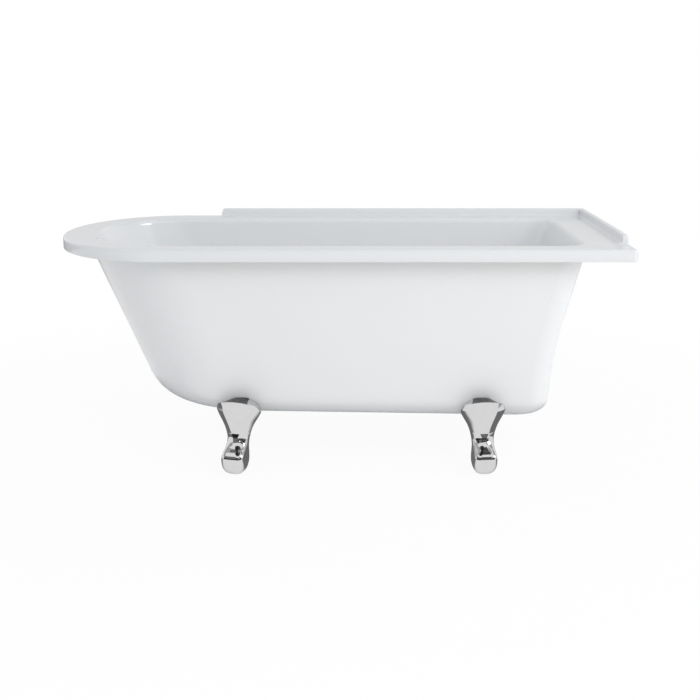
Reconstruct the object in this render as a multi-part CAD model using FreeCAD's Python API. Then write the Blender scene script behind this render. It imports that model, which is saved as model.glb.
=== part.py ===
"""A free-standing shower bath: round at the head end, square at the tap end, on four cast feet.

Millimetres. +X runs to the square end, +Y to the wall behind the bath, +Z up. The origin is on the floor under the
middle of the bath. The tub is two shells: an inner tub that hangs from its rim, and an outer skin bonded under that
rim. Timber bearers between the shells take the feet. A pop-up waste sits in the floor, and the dial on its
overflow lifts the plug.
"""
import FreeCAD
import Part
import math
import os

V = FreeCAD.Vector
UP = V(0, 0, 1)
OUT = "parts"
SIDES = ("left", "right", "front", "rear")

# ---------------------------------------------------------------- driving dimensions
LENGTH = 1500.0
WIDTH = 750.0
RIM_Z = 600.0            # top of the rim above the floor
RIM_DEPTH = 31.0         # height of the rim's outer edge
RIM_END = 293.0          # half axis along X of the rim's round end
RIM_CORNER = 10.0        # plan radius of the two square corners
RIM_ROUND = 7.0          # round on the rim's outer top edge
FASCIA_T = 6.0
SHELL_T = 8.0            # acrylic with its glass-fibre backing
SKIN_T = 5.0
SKIN_FLOOR = 131.5       # underside of the outer skin at LEVEL_X
SKIN_TILT = 0.016        # the skin's bottom rises towards the round end by this slope
LEVEL_X = 300.0
TUB_FLOOR = 185.0        # inside of the tub at the bottom
UPSTAND_H = 22.0
UPSTAND_T = 15.0
UPSTAND_LEFT_X = -363.0  # where the rear upstand starts
UPSTAND_FRONT_Y = -255.0  # where the end upstand stops
UPSTAND_ROUND = 4.0

WASTE_X = 375.0
WASTE_HOLE = 25.0
OVERFLOW_Z = 472.0
OVERFLOW_HOLE = 22.0
SPOUT_IN = -19.5         # how far behind the tub's inner face the overflow's hose starts
HOSE_R = 9.5
PLUG_LIFT = 10.0

# Feet: where the toe stands, how far it turns outwards, and where its strap is bolted.
FOOT_Y = -315.0
FEET = {"left": (-268.6, -15.5), "right": (386.6, 6.0)}
STRAP_T = 5.0
STRAP_HALF = 20.0
BOLT_BACK = (190.0, 214.0)
BOLT_R = 4.0
INSERT_TOP = 24.0        # top of the threaded inserts above the skin's underside
LEVEL_PAD_R = 7.5
LEVEL_R = 3.95

BOARD_T = 12.0
BEARER_Y = (92.0, 185.0)
BEARER_X = (-250.0, 425.0)

RIM_UNDER = RIM_Z - SHELL_T
RIM_LOW = RIM_Z - RIM_DEPTH
TUB_UNDER = TUB_FLOOR - SHELL_T
BOARD_LOW = TUB_UNDER - BOARD_T

# A vessel is given by its four walls. Each wall has its place at height ref_z, its slope and its radius into the
# floor. A fourth entry bends the wall inwards on its way down: below that height it curves to the steeper slope.
CAVITY = {
    "left": (652.0, 0.42, 150.0),
    "right": (621.0, 0.40, 80.0),
    "front": (286.0, 0.16, 100.0),
    "rear": (283.0, 0.16, 100.0),
    "ref_z": 570.0,
    "floor": TUB_FLOOR,
    "flare": 15.0,               # round from the wall over into the rim
    "tilt": 0.0,
    "end": (204.0, 190.0),       # half axis along X of the round end, at the rim and at the floor
    "corner": (60.0, 75.0),      # plan radius of the square end's corners, at the rim and at the floor
}
OUTSIDE = {
    "left": (679.0, 0.42, 132.0),
    "right": (637.0, 0.25, 50.0, (400.0, 900.0, 0.08)),
    "front": (313.0, 0.13, 70.0),
    "rear": (313.0, 0.13, 70.0),
    "ref_z": RIM_LOW,
    "floor": SKIN_FLOOR,
    "flare": 0.0,
    "tilt": SKIN_TILT,
    "end": (282.0, 217.0),
    "corner": (60.0, 60.0),
}

# The foot's sections from the floor up: height, half width, front, back (both measured ahead of the middle of the
# toe), size of the front corners and how far in their middle lies, as a share of that size.
ROUND = 1 - math.sqrt(0.5)   # the share of a true quarter circle; 0.5 would be a straight cut
BACK_CORNER = 10.0
TOE = (
    (1.5, 15.0, 11.5, -14.0, 10.0, ROUND),
    (3.0, 19.0, 14.5, -16.0, 11.0, ROUND),
    (7.0, 23.5, 19.0, -19.0, 13.0, ROUND),
    (12.0, 26.8, 23.2, -23.0, 15.5, ROUND),
    (20.0, 29.6, 27.6, -27.0, 17.5, ROUND),
    (30.0, 31.2, 30.2, -31.0, 18.3, ROUND),
    (40.0, 31.0, 31.5, -35.0, 17.2, ROUND),
    (50.0, 29.9, 30.0, -38.0, 16.5, ROUND),
    (60.0, 28.8, 22.5, -40.0, 19.0, 0.30),
    (72.0, 28.0, 9.5, -42.0, 23.0, 0.33),
    (86.0, 29.3, -1.5, -43.0, 25.0, 0.38),
    (96.0, 31.2, -6.0, -44.0, 24.0, 0.41),
    (105.0, 33.2, -8.0, -45.0, 22.5, 0.43),
)
ANKLE = (
    (105.0, 33.2, -8.0, -45.0, 22.5, 0.43),
    (115.0, 36.5, -8.5, -46.0, 22.0, 0.44),
    (130.0, 43.4, -7.5, -48.0, 24.0, 0.45),
    (145.0, 52.2, -6.0, -52.0, 27.0, 0.45),
    (158.0, 58.2, -5.0, -60.0, 28.0, 0.45),
    (165.0, 60.0, -4.5, -70.0, 27.5, 0.45),
)
SHOULDER = (
    (165.0, 60.0, -4.5, -70.0, 27.5, 0.45),
    (180.0, 56.0, -3.5, -70.0, 22.0, 0.45),
    (192.0, 52.0, -2.5, -70.0, 14.0, 0.45),
)
SHELF_Z = 191.0          # height of the foot's straight front top edge
ARCH_HALF = 63.0         # the foot's top ends in an arch against the tub: its half width, springing and crown
ARCH_SPRING = 120.0
ARCH_CROWN = 193.0
ARCH_BACK = 62.0         # how far behind the toe that arch stands
FOOT_WALL = 6.0


# ---------------------------------------------------------------- plan outlines and lofted vessels
def quarter(start, corner, end):
    """A quarter ellipse from start to end whose tangents meet at corner."""
    curve = Part.BezierCurve()
    curve.setPoles([start, corner, end])
    curve.setWeight(2, math.sqrt(0.5))
    return curve.toShape()


def plan_wire(left, right, front, rear, end, corner, z, tilt=0.0):
    """The plan outline: straight sides, a half ellipse on the left and two rounded corners on the right.

    A tilt lifts the outline towards the left, about the line x = LEVEL_X.
    """
    def at(x, y):
        return V(x, y, z + tilt * (LEVEL_X - x))

    middle = (front + rear) / 2
    near, far = left + end, right - corner
    return Part.Wire([
        Part.LineSegment(at(near, front), at(far, front)).toShape(),
        quarter(at(far, front), at(right, front), at(right, front + corner)),
        Part.LineSegment(at(right, front + corner), at(right, rear - corner)).toShape(),
        quarter(at(right, rear - corner), at(right, rear), at(far, rear)),
        Part.LineSegment(at(far, rear), at(near, rear)).toShape(),
        quarter(at(near, rear), at(left, rear), at(left, middle)),
        quarter(at(left, middle), at(left, front), at(near, front)),
    ])


def wall_at(vessel, side, z):
    """Place and slope of one wall's straight or bent run at height z, without its radii."""
    place, slope = vessel[side][:2]
    if len(vessel[side]) < 4 or z >= vessel[side][3][0]:
        return place - slope * (vessel["ref_z"] - z), slope
    bend_z, bend_r, low_slope = vessel[side][3]
    bend_x = place - slope * (vessel["ref_z"] - bend_z) + bend_r * math.cos(math.atan(slope))
    centre_z = bend_z - bend_r * math.sin(math.atan(slope))
    low_z = centre_z + bend_r * math.sin(math.atan(low_slope))
    if z >= low_z:
        across = math.sqrt(bend_r ** 2 - (z - centre_z) ** 2)
        return bend_x - across, (z - centre_z) / across
    low_x = bend_x - bend_r * math.cos(math.atan(low_slope))
    return low_x - low_slope * (low_z - z), low_slope


def reach(vessel, side, z, grow):
    """How far one wall stands from the middle at height z, with the vessel grown by that much."""
    radius = vessel[side][2]
    low_slope = wall_at(vessel, side, vessel["floor"] + radius)[1]
    lean = math.atan(low_slope)
    low_centre = vessel["floor"] + radius
    if z < low_centre - (radius + grow) * math.sin(lean):
        tangent = low_centre - radius * math.sin(lean)
        centre = wall_at(vessel, side, tangent)[0] - radius * math.cos(lean)
        return centre + math.sqrt(max((radius + grow) ** 2 - (z - low_centre) ** 2, 0.0))
    flare = vessel["flare"]
    lean = math.atan(vessel[side][1])
    high_centre = RIM_Z - flare
    if flare and z > high_centre + (flare - grow) * math.sin(lean):
        centre = wall_at(vessel, side, high_centre + flare * math.sin(lean))[0] + flare * math.cos(lean)
        return centre - math.sqrt(max((flare - grow) ** 2 - (z - high_centre) ** 2, 0.0))
    place, slope = wall_at(vessel, side, z)
    return place + grow / math.cos(math.atan(slope))


def vessel_section(vessel, z, grow):
    left, right, front, rear = (reach(vessel, side, z, grow) for side in SIDES)
    share = (RIM_Z - z) / (RIM_Z - vessel["floor"])
    end = vessel["end"][0] + share * (vessel["end"][1] - vessel["end"][0]) + grow
    corner = vessel["corner"][0] + share * (vessel["corner"][1] - vessel["corner"][0]) + grow
    if vessel["flare"]:  # the round over the rim widens the outline, and its end and corners with it
        over = right - reach(dict(vessel, flare=0.0), "right", z, grow)
        end += over
        corner += over
    tilt = vessel["tilt"] * min(max((RIM_UNDER - z) / (RIM_UNDER - vessel["floor"]), 0.0), 1.0)
    return plan_wire(-left, right, -front, rear, end, corner, z, tilt)


def skin_under(x):
    """Height of the outer skin's flat underside at x."""
    return SKIN_FLOOR + SKIN_TILT * (LEVEL_X - x)


def vessel_solid(vessel, grow, top):
    """The vessel's filled volume, grown outwards by that much, up to the height top."""
    low = vessel["floor"] - grow
    bend = max(vessel[side][2] for side in SIDES) + grow
    heights = [low + bend * (1 - math.cos(math.radians(a))) for a in (0, 4, 9, 15, 22, 30, 39, 49, 60, 72, 85)]
    straight_top = min(top, RIM_Z - vessel["flare"])
    start = heights[-1]
    heights += [start + (straight_top - start) * i / 7 for i in range(1, 8)]
    if vessel["flare"]:
        round_r = vessel["flare"] - grow
        heights += [straight_top + round_r * math.sin(math.radians(a)) for a in (15, 30, 45, 58, 70, 80, 86, 90)]
    return Part.makeLoft([vessel_section(vessel, z, grow) for z in heights], True, False)


# ---------------------------------------------------------------- small helpers
def box(x0, x1, y0, y1, z0, z1):
    return Part.makeBox(x1 - x0, y1 - y0, z1 - z0, V(x0, y0, z0))


def disc(radius, z0, z1, x=0.0, y=0.0):
    return Part.makeCylinder(radius, z1 - z0, V(x, y, z0))


def ring(outer, inner, z0, z1, x=0.0, y=0.0):
    return disc(outer, z0, z1, x, y).cut(disc(inner, z0, z1, x, y))


def hexagon(across, z0, z1, x, y):
    corner = across / math.sqrt(3)
    turns = [math.radians(60 * i) for i in range(7)]
    points = [V(x + corner * math.cos(t), y + corner * math.sin(t), z0) for t in turns]
    return Part.Face(Part.makePolygon(points)).extrude(V(0, 0, z1 - z0))


def union(shapes):
    return shapes[0].multiFuse(shapes[1:]).removeSplitter()


def sweep_tube(points, start_dir, end_dir, outer, inner):
    """A round tube along a smooth line through the points."""
    curve = Part.BSplineCurve()
    curve.interpolate([V(*p) for p in points], InitialTangent=V(*start_dir), FinalTangent=V(*end_dir))
    spine = Part.Wire([curve.toShape()])
    circles = [Part.Wire([Part.makeCircle(r, V(*points[0]), V(*start_dir))]) for r in (outer, inner) if r > 0]
    solids = [spine.makePipeShell([circle], True, False) for circle in circles]
    return solids[0].cut(solids[1]) if len(solids) == 2 else solids[0]


def export(name, *shapes):
    """Writes one node's solids. Shapes that hold several solids are taken apart first."""
    solids = [s for shape in shapes for s in shape.Solids]
    for s in solids:
        if not s.isValid() or s.Volume <= 0:
            print("CHECK", name, "valid", s.isValid(), "volume", round(s.Volume))
    made = solids[0] if len(solids) == 1 else Part.makeCompound(solids)
    made.exportStep(os.path.join(OUT, name + ".step"))
    b = made.BoundBox
    size = f"x {b.XMin:.0f}..{b.XMax:.0f} y {b.YMin:.0f}..{b.YMax:.0f} z {b.ZMin:.1f}..{b.ZMax:.1f}"
    print(f"{name}: {len(solids)} solid(s), {sum(s.Volume for s in solids) / 1000:.1f} cm3, {size}")
    return made


# ---------------------------------------------------------------- the tub
def rim_outline(inset, z):
    return plan_wire(-LENGTH / 2 + inset, LENGTH / 2 - inset, -WIDTH / 2 + inset, WIDTH / 2 - inset,
                     RIM_END - inset, max(RIM_CORNER - inset, 4.0), z)


def make_rim():
    """The flat rim with its turned-down edge, hollow below."""
    rim = Part.Face(rim_outline(0, RIM_LOW)).extrude(V(0, 0, RIM_DEPTH))
    top_edges = [e for e in rim.Edges if all(abs(v.Z - RIM_Z) < 0.01 for v in e.Vertexes)]
    rim = rim.makeFillet(RIM_ROUND, top_edges)
    hollow = Part.Face(rim_outline(FASCIA_T, RIM_LOW - 1)).extrude(V(0, 0, RIM_UNDER - RIM_LOW + 1))
    return rim.cut(hollow)


def make_upstand():
    """The raised lip on the rear and on the square end, for the wall tiles to lap over."""
    high = RIM_Z + UPSTAND_H
    outline = Part.Face(rim_outline(0, RIM_UNDER)).extrude(V(0, 0, high - RIM_UNDER))
    lip = outline.cut(box(-LENGTH, LENGTH / 2 - UPSTAND_T, -WIDTH, WIDTH / 2 - UPSTAND_T, 0, high + 1))
    lip = lip.common(box(UPSTAND_LEFT_X, LENGTH, UPSTAND_FRONT_Y, WIDTH, RIM_UNDER, high))
    start = box(UPSTAND_LEFT_X - 1, UPSTAND_LEFT_X + UPSTAND_H, 0, WIDTH, RIM_Z, high + 1)
    start = start.cut(Part.makeCylinder(UPSTAND_H, WIDTH, V(UPSTAND_LEFT_X + UPSTAND_H, 0, RIM_Z), V(0, 1, 0)))
    stop = box(0, LENGTH, UPSTAND_FRONT_Y - 1, UPSTAND_FRONT_Y + UPSTAND_H, RIM_Z, high + 1)
    stop = stop.cut(Part.makeCylinder(UPSTAND_H, LENGTH, V(0, UPSTAND_FRONT_Y + UPSTAND_H, RIM_Z), V(1, 0, 0)))
    lip = lip.cut(start).cut(stop)
    top_edges = [e for e in lip.Edges if all(abs(v.Z - high) < 0.01 for v in e.Vertexes) and e.Length > 100]
    return lip.makeFillet(UPSTAND_ROUND, top_edges)


def on_wall():
    """The placement that carries a shape built upwards from the origin onto the end wall at the overflow.

    Its +Z then points into the tub and its +X up along the wall.
    """
    place, slope = wall_at(CAVITY, "right", OVERFLOW_Z)
    turn = FreeCAD.Rotation(V(0, 1, 0), math.degrees(math.atan(slope)) - 90)
    return FreeCAD.Placement(V(place, 0, OVERFLOW_Z), turn)


def set_on_wall(shape):
    return shape.transformed(on_wall().toMatrix())


def make_tub():
    tub = make_rim().fuse(vessel_solid(CAVITY, SHELL_T, RIM_UNDER)).fuse(make_upstand())
    tub = tub.cut(vessel_solid(CAVITY, 0.0, RIM_Z))
    recess = disc(36.5, TUB_FLOOR - 1.5, TUB_FLOOR + 5, WASTE_X)
    waste_hole = disc(WASTE_HOLE, TUB_UNDER - 5, TUB_FLOOR + 5, WASTE_X)
    overflow_hole = set_on_wall(disc(OVERFLOW_HOLE, -SHELL_T * 2, SHELL_T))
    return tub.cut(recess.fuse(waste_hole)).cut(overflow_hole)


def bolt_places():
    """Plan positions of the eight bolts that hold the feet."""
    places = []
    for x, yaw in FEET.values():
        for back in BOLT_BACK:
            px = x - back * math.sin(math.radians(yaw))
            py = FOOT_Y + back * math.cos(math.radians(yaw))
            places += [(px, py), (px, -py)]
    return places


def make_skin():
    skin = vessel_solid(OUTSIDE, 0.0, RIM_UNDER).cut(vessel_solid(OUTSIDE, -SKIN_T, RIM_UNDER))
    skin = skin.cut(vessel_solid(CAVITY, SHELL_T, RIM_UNDER))
    holes = [disc(BOLT_R + 0.5, skin_under(x) - 5, skin_under(x) + 10, x, y) for x, y in bolt_places()]
    holes.append(disc(32.0, SKIN_FLOOR - 10, SKIN_FLOOR + 10, WASTE_X))
    return skin.cut(Part.makeCompound(holes))


# ---------------------------------------------------------------- timber between the shells
def make_screws():
    """The wood screws that hold the base board down on the bearers."""
    places = [(x, y) for x in (-120, 0, 120, 240) for y in (-140, 140)]
    return [disc(2.0, BOARD_LOW - 16, TUB_UNDER - 2, x, y) for x, y in places]


def make_base_board():
    board = box(-330, 410, -190, 190, BOARD_LOW, TUB_UNDER)
    board = board.common(vessel_solid(OUTSIDE, -SKIN_T - 10, RIM_UNDER))
    return board.cut(disc(42.0, BOARD_LOW, TUB_UNDER, WASTE_X)).cut(Part.makeCompound(make_screws()))


def make_bearer(side):
    near, far = sorted((side * BEARER_Y[0], side * BEARER_Y[1]))
    bearer = box(BEARER_X[0], BEARER_X[1], near, far, SKIN_FLOOR, BOARD_LOW)
    bearer = bearer.common(vessel_solid(OUTSIDE, -SKIN_T, RIM_UNDER))
    holes = [disc(6.0, skin_under(x), skin_under(x) + INSERT_TOP, x, y) for x, y in bolt_places() if y * side > 0]
    return bearer.cut(Part.makeCompound(holes + make_screws()))


# ---------------------------------------------------------------- feet
def foot_section(z, half, front, back, corner, share):
    """A rectangle with eased corners. The foot faces -Y here, so a place ahead of the toe has a negative y."""
    x, y0, y1, r, b = half, -front, -back, corner, min(corner, BACK_CORNER)
    lines = (((-x + r, y0), (x - r, y0)), ((x, y0 + r), (x, y1 - b)),
             ((x - b, y1), (-x + b, y1)), ((-x, y1 - b), (-x, y0 + r)))
    s, t = r * share, b * ROUND
    mids = ((x - s, y0 + s), (x - t, y1 - t), (-x + t, y1 - t), (-x + s, y0 + s))
    edges = []
    for i in range(4):
        start, end = lines[i]
        edges.append(Part.LineSegment(V(*start, z), V(*end, z)).toShape())
        edges.append(Part.Arc(V(*end, z), V(*mids[i], z), V(*lines[(i + 1) % 4][0], z)).toShape())
    return Part.Wire(edges)


def foot_loft(sections, ruled):
    return Part.makeLoft([foot_section(*s) for s in sections], True, ruled)


def inset(sections):
    """The same sections one wall thickness further in, open to the back."""
    eased = FOOT_WALL * (2 - math.sqrt(2))
    return [(z, half - FOOT_WALL, front - FOOT_WALL, -110.0, corner - eased, share)
            for z, half, front, back, corner, share in sections]


def arch_wire(y, half, spring, crown, power):
    """An upright outline with straight sides and an arched top. A high power makes the top flat."""
    turns = [math.pi * i / 24 for i in range(25)]
    points = []
    for t in turns:
        across = math.copysign(abs(math.cos(t)) ** (2 / power), math.cos(t))
        points.append(V(half * across, y, spring + (crown - spring) * math.sin(t) ** (2 / power)))
    top = Part.BSplineCurve()
    top.interpolate(points)
    low = [points[-1], V(-half, y, -5), V(half, y, -5), points[0]]
    return Part.Wire([top.toShape()] + [Part.LineSegment(low[i], low[i + 1]).toShape() for i in range(3)])


def make_foot(side, body):
    """One cast front foot in place, cut to the outer skin it stands against."""
    foot = union([foot_loft(TOE, False), foot_loft(ANKLE, False), foot_loft(SHOULDER, False)])
    arches = [arch_wire(-45.0, 80.0, 100.0, SHELF_Z, 8), arch_wire(ARCH_BACK, ARCH_HALF, ARCH_SPRING, ARCH_CROWN, 2),
              arch_wire(ARCH_BACK + 30, ARCH_HALF, ARCH_SPRING, ARCH_CROWN, 2)]
    foot = foot.common(Part.makeLoft(arches, True, True))
    hollow = foot_loft(inset(TOE[8:]), False).fuse(foot_loft(inset(ANKLE[:4]), False))
    bore = disc(LEVEL_PAD_R + 0.6, -1, 15).fuse(disc(LEVEL_R + 0.35, 14, 66))
    foot = foot.cut(hollow).cut(bore)
    x, yaw = FEET[side]
    strap = Part.makeBox(STRAP_HALF * 2, BOLT_BACK[1] + 14 - 45, 80, V(-STRAP_HALF, 45, 110))
    for shape in (foot, strap):
        shape.rotate(V(0, 0, 0), UP, yaw)
        shape.translate(V(x, FOOT_Y, 0))
    strap = strap.common(vessel_solid(OUTSIDE, STRAP_T, RIM_UNDER))
    foot = foot.fuse(strap).cut(body)
    holes = [disc(BOLT_R + 0.3, SKIN_FLOOR - 20, SKIN_FLOOR + 20, px, py) for px, py in bolt_places() if py < 0]
    return foot.cut(Part.makeCompound(holes))


def level_place(side, end):
    """Plan position of one foot's levelling screw. side is -1 for the front and 1 for the rear."""
    return FEET[end][0], -side * FOOT_Y


def make_leveller(x, y):
    return union([disc(LEVEL_PAD_R, 0, 5, x, y), disc(6.5, 5, 7.5, x, y), disc(LEVEL_R, 7.5, 60, x, y)])


# ---------------------------------------------------------------- waste and overflow
def spider(outer, bore, z0, z1, arms, x):
    """Crossed arms that carry a guide ring in the middle of a pipe."""
    hub = disc(bore + 3.0, z0, z1, x)
    bars = []
    for i in range(arms):
        bar = box(-outer, outer, -1.5, 1.5, z0, z1)
        bar.rotate(V(0, 0, 0), UP, 180.0 * i / arms)
        bars.append(bar.translated(V(x, 0, 0)))
    return union([hub] + bars).common(disc(outer, z0, z1, x)).cut(disc(bore, z0, z1, x))


def make_waste():
    """The waste through the tub's floor, in place."""
    floor = TUB_FLOOR - 1.5
    seal = ring(35.0, WASTE_HOLE + 0.5, floor, floor + 1, WASTE_X)
    flange = union([ring(36.0, 21.5, floor + 1, floor + 3.5, WASTE_X), ring(24.0, 21.5, 150, floor + 1, WASTE_X),
                    spider(22.5, LEVEL_R + 0.05, 156, 161, 2, WASTE_X)])
    under = ring(34.0, WASTE_HOLE + 0.5, TUB_UNDER - 3, TUB_UNDER, WASTE_X)
    body = union([disc(36.0, TUB_UNDER - 7, TUB_UNDER - 3, WASTE_X), disc(28.0, 126, TUB_UNDER - 7, WASTE_X),
                  disc(23.9, 100, 126, WASTE_X),
                  Part.makeCylinder(7.0, 52, V(WASTE_X, 0, 150), V(1, 0, 0))])
    bores = union([disc(24.2, 148, TUB_UNDER, WASTE_X), disc(20.0, 99, 148, WASTE_X),
                   Part.makeCylinder(5.5, 60, V(WASTE_X, 0, 150), V(1, 0, 0))])
    guide = spider(21.0, LEVEL_R + 0.05, 110, 116, 2, WASTE_X)
    body = body.cut(bores).fuse(guide)
    top = floor + 3.7
    cap = disc(30.0, top, top + 5, WASTE_X)
    rims = [e for e in cap.Edges if abs(e.BoundBox.ZMin - top - 5) < 0.01 and e.BoundBox.ZLength < 0.01]
    cap = cap.makeFillet(3.5, rims)
    cap = union([cap, disc(18.5, top - 8, top, WASTE_X)]).cut(disc(LEVEL_R, top - 9, top - 2, WASTE_X))
    plug_seal = ring(21.0, 18.5, top - 6, top - 3, WASTE_X)
    stem = disc(LEVEL_R, 106, top - 2, WASTE_X)
    collar = ring(8.0, LEVEL_R, 128, 134, WASTE_X)
    return {"waste_flange": flange, "waste_flange_seal": seal, "waste_under_seal": under, "waste_body": body,
            "plug_cap": cap, "plug_seal": plug_seal, "plug_stem": stem, "lift_collar": collar}


def make_overflow():
    """The overflow on the end wall. Built round the origin, then set on the wall."""
    rose = disc(36.0, 0, 4).fuse(disc(21.5, -13, 0)).cut(disc(17.5, -14, -3))
    rims = [e for e in rose.Edges if abs(e.BoundBox.ZMin - 4) < 0.01 and e.BoundBox.ZLength < 0.01]
    rose = rose.makeFillet(2.0, rims)
    vents = [disc(3.6, -4, 5, 12.5 * math.cos(math.radians(60 * i)), 12.5 * math.sin(math.radians(60 * i)))
             for i in range(6)]
    rose = rose.cut(Part.makeCompound(vents + [disc(5.05, -4, 5)]))
    spindle = union([disc(5.0, -17, 7), disc(9.0, -17, -14)])
    dial = union([ring(28.0, 20.0, 5, 9), disc(28.0, 7, 11), box(-24, 24, -4, 4, 11, 19)])
    dial = dial.cut(disc(5.0, 4, 7))
    seal = ring(32.0, 22.5, -SHELL_T - 2, -SHELL_T)
    back = -SHELL_T - 12
    spout = V(-76, 0, SPOUT_IN)
    body = union([ring(33.0, 21.7, -SHELL_T - 4, -SHELL_T - 2), box(-76, 24, -26, 26, back, -SHELL_T - 4),
                  box(-76, -40, -12, 12, SPOUT_IN - 8, -SHELL_T - 4),
                  Part.makeCylinder(7.0, 24, spout, V(-1, 0, 0))])
    body = body.cut(box(-74, 22.5, -24, 24, back + 1.5, -SHELL_T - 5.5)).cut(disc(21.7, back + 1.5, -SHELL_T))
    body = body.cut(Part.makeCylinder(5.5, 40, spout + V(8, 0, 0), V(-1, 0, 0)))
    made = {"overflow_rose": rose, "overflow_dial": dial, "overflow_spindle": spindle, "overflow_seal": seal,
            "overflow_body": body}
    return {name: set_on_wall(shape) for name, shape in made.items()}


def gap_middle(z):
    """The X halfway between the tub's end wall and the outer skin at height z."""
    return (reach(CAVITY, "right", z, SHELL_T) + reach(OUTSIDE, "right", z, -SKIN_T)) / 2


def make_hose():
    place = on_wall()
    start = place.multVec(V(-78, 0, SPOUT_IN))
    low = place.multVec(V(-98, 0, SPOUT_IN))
    down = place.Rotation.multVec(V(-1, 0, 0))
    runs = [(gap_middle(z), 0, z) for z in (320, 265)] + [(508, 0, 192), (470, 0, 158), (WASTE_X + 52, 0, 150)]
    end = (WASTE_X + 30, 0, 150)
    hose = sweep_tube([tuple(start), tuple(low)] + runs + [end], tuple(down), (-1, 0, 0), HOSE_R, HOSE_R - 2)
    clips = []
    for foot, along in ((place.multVec(V(-81, 0, SPOUT_IN)), down), (V(WASTE_X + 33, 0, 150), V(1, 0, 0))):
        clip = Part.makeCylinder(HOSE_R + 1.1, 7, foot, along)
        clips.append(clip.cut(Part.makeCylinder(HOSE_R + 0.1, 7, foot, along)))
    return hose, Part.makeCompound(clips)


def make_cable():
    place = on_wall()
    start = place.multVec(V(-76, 19, -16))
    down = place.Rotation.multVec(V(-1, 0, 0))
    runs = [(gap_middle(z), 24, z) for z in (320, 265)] + [(508, 30, 195), (470, 30, 156), (430, 26, 146)]
    end = (WASTE_X + 19, 22, 146)
    return sweep_tube([tuple(start)] + runs + [end], tuple(down), (-1, 0, 0), 2.5, 0)


# ---------------------------------------------------------------- all the pieces
def main():
    os.makedirs(OUT, exist_ok=True)
    export("tub_shell", make_tub())
    export("outer_skin", make_skin())

    export("base_board", make_base_board())
    for name, side in (("front", -1), ("rear", 1)):
        export("bearer_" + name, make_bearer(side))
        near, far = sorted((side * 322.0, side * 365.0))
        export("rim_batten_" + name, box(-380, 640, near, far, RIM_UNDER - 20, RIM_UNDER))
    export("deck_board", box(649, 740, -318, 318, RIM_UNDER - 15, RIM_UNDER))
    export("bearer_screws", *make_screws())

    body = vessel_solid(OUTSIDE, 0.0, RIM_UNDER)
    for end in FEET:
        foot = make_foot(end, body)
        export(end + "_front_foot", foot)
        export(end + "_rear_foot", foot.mirror(V(0, 0, 0), V(0, 1, 0)))
        for name, side in (("front", -1), ("rear", 1)):
            export(f"{end}_{name}_leveller", make_leveller(*level_place(side, end)))
    nuts = []
    for end in FEET:
        for side in (-1, 1):
            x, y = level_place(side, end)
            nuts.append(hexagon(13.0, 8.5, 15, x, y).cut(disc(LEVEL_R + 0.05, 8, 16, x, y)))
    export("leveller_nuts", *nuts)
    washers, bolts, inserts = [], [], []
    for x, y in bolt_places():
        under = skin_under(x) - STRAP_T - 0.2
        head = hexagon(13.0, under - 6.9, under - 1.6, x, y)
        washers.append(ring(9.0, BOLT_R + 0.3, under - 1.6, under, x, y))
        bolts.append(head.fuse(disc(BOLT_R, under - 1.6, skin_under(x) + INSERT_TOP - 1, x, y)))
        inserts.append(ring(6.0, BOLT_R, skin_under(x) + SKIN_T + 0.3, skin_under(x) + INSERT_TOP, x, y))
    export("foot_washers", *washers)
    export("foot_bolts", *bolts)
    export("foot_inserts", *inserts)

    for name, shape in make_waste().items():
        export(name, shape)
    for name, shape in make_overflow().items():
        export(name, shape)
    hose, clips = make_hose()
    export("overflow_hose", hose)
    export("hose_clips", clips)
    export("lift_cable", make_cable())


main()
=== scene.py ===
# %% [markdown]
# # A freestanding bath on chrome feet
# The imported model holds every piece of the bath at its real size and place. This script dresses it:
# it sets up a camera, a floor and lights, makes a finish for each material, and models again the
# pieces whose surface needs more than the plain solid has.

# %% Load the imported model
import math

import bpy
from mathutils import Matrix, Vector


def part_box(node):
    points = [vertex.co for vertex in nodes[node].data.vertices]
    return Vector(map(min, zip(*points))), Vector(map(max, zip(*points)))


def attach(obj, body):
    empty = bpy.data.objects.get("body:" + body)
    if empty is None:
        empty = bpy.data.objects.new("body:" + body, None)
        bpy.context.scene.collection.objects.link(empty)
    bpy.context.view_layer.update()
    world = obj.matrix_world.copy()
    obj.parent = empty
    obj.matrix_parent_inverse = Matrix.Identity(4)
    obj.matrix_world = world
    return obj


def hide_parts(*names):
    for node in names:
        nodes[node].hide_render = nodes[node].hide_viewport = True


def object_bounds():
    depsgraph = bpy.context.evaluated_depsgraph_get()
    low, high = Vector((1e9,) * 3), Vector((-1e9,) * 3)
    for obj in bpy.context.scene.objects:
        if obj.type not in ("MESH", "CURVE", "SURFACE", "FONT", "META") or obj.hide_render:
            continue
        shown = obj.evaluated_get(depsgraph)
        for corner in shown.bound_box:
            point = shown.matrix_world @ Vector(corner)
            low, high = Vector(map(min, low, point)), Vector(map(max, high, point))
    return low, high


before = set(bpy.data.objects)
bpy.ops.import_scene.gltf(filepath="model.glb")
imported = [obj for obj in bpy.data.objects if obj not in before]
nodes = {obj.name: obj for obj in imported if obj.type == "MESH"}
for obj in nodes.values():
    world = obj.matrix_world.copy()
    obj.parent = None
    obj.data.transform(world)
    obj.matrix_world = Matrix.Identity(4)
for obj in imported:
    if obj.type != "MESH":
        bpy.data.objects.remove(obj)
cad_box = [list(corner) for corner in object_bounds()]
print("nodes:", len(nodes), "box:", cad_box)

# %% [markdown]
# ## The camera
# The bath is seen from the front, a little from above, with a long lens, so that its long rim stays
# almost straight. A shorter lens closer by would bulge the near rim.

# %% Camera
CAMERA_PLACE = (0.03376, -3.41895, 1.03616)
CAMERA_TILT = 0.2230
CAMERA_LENS = 63.63


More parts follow.
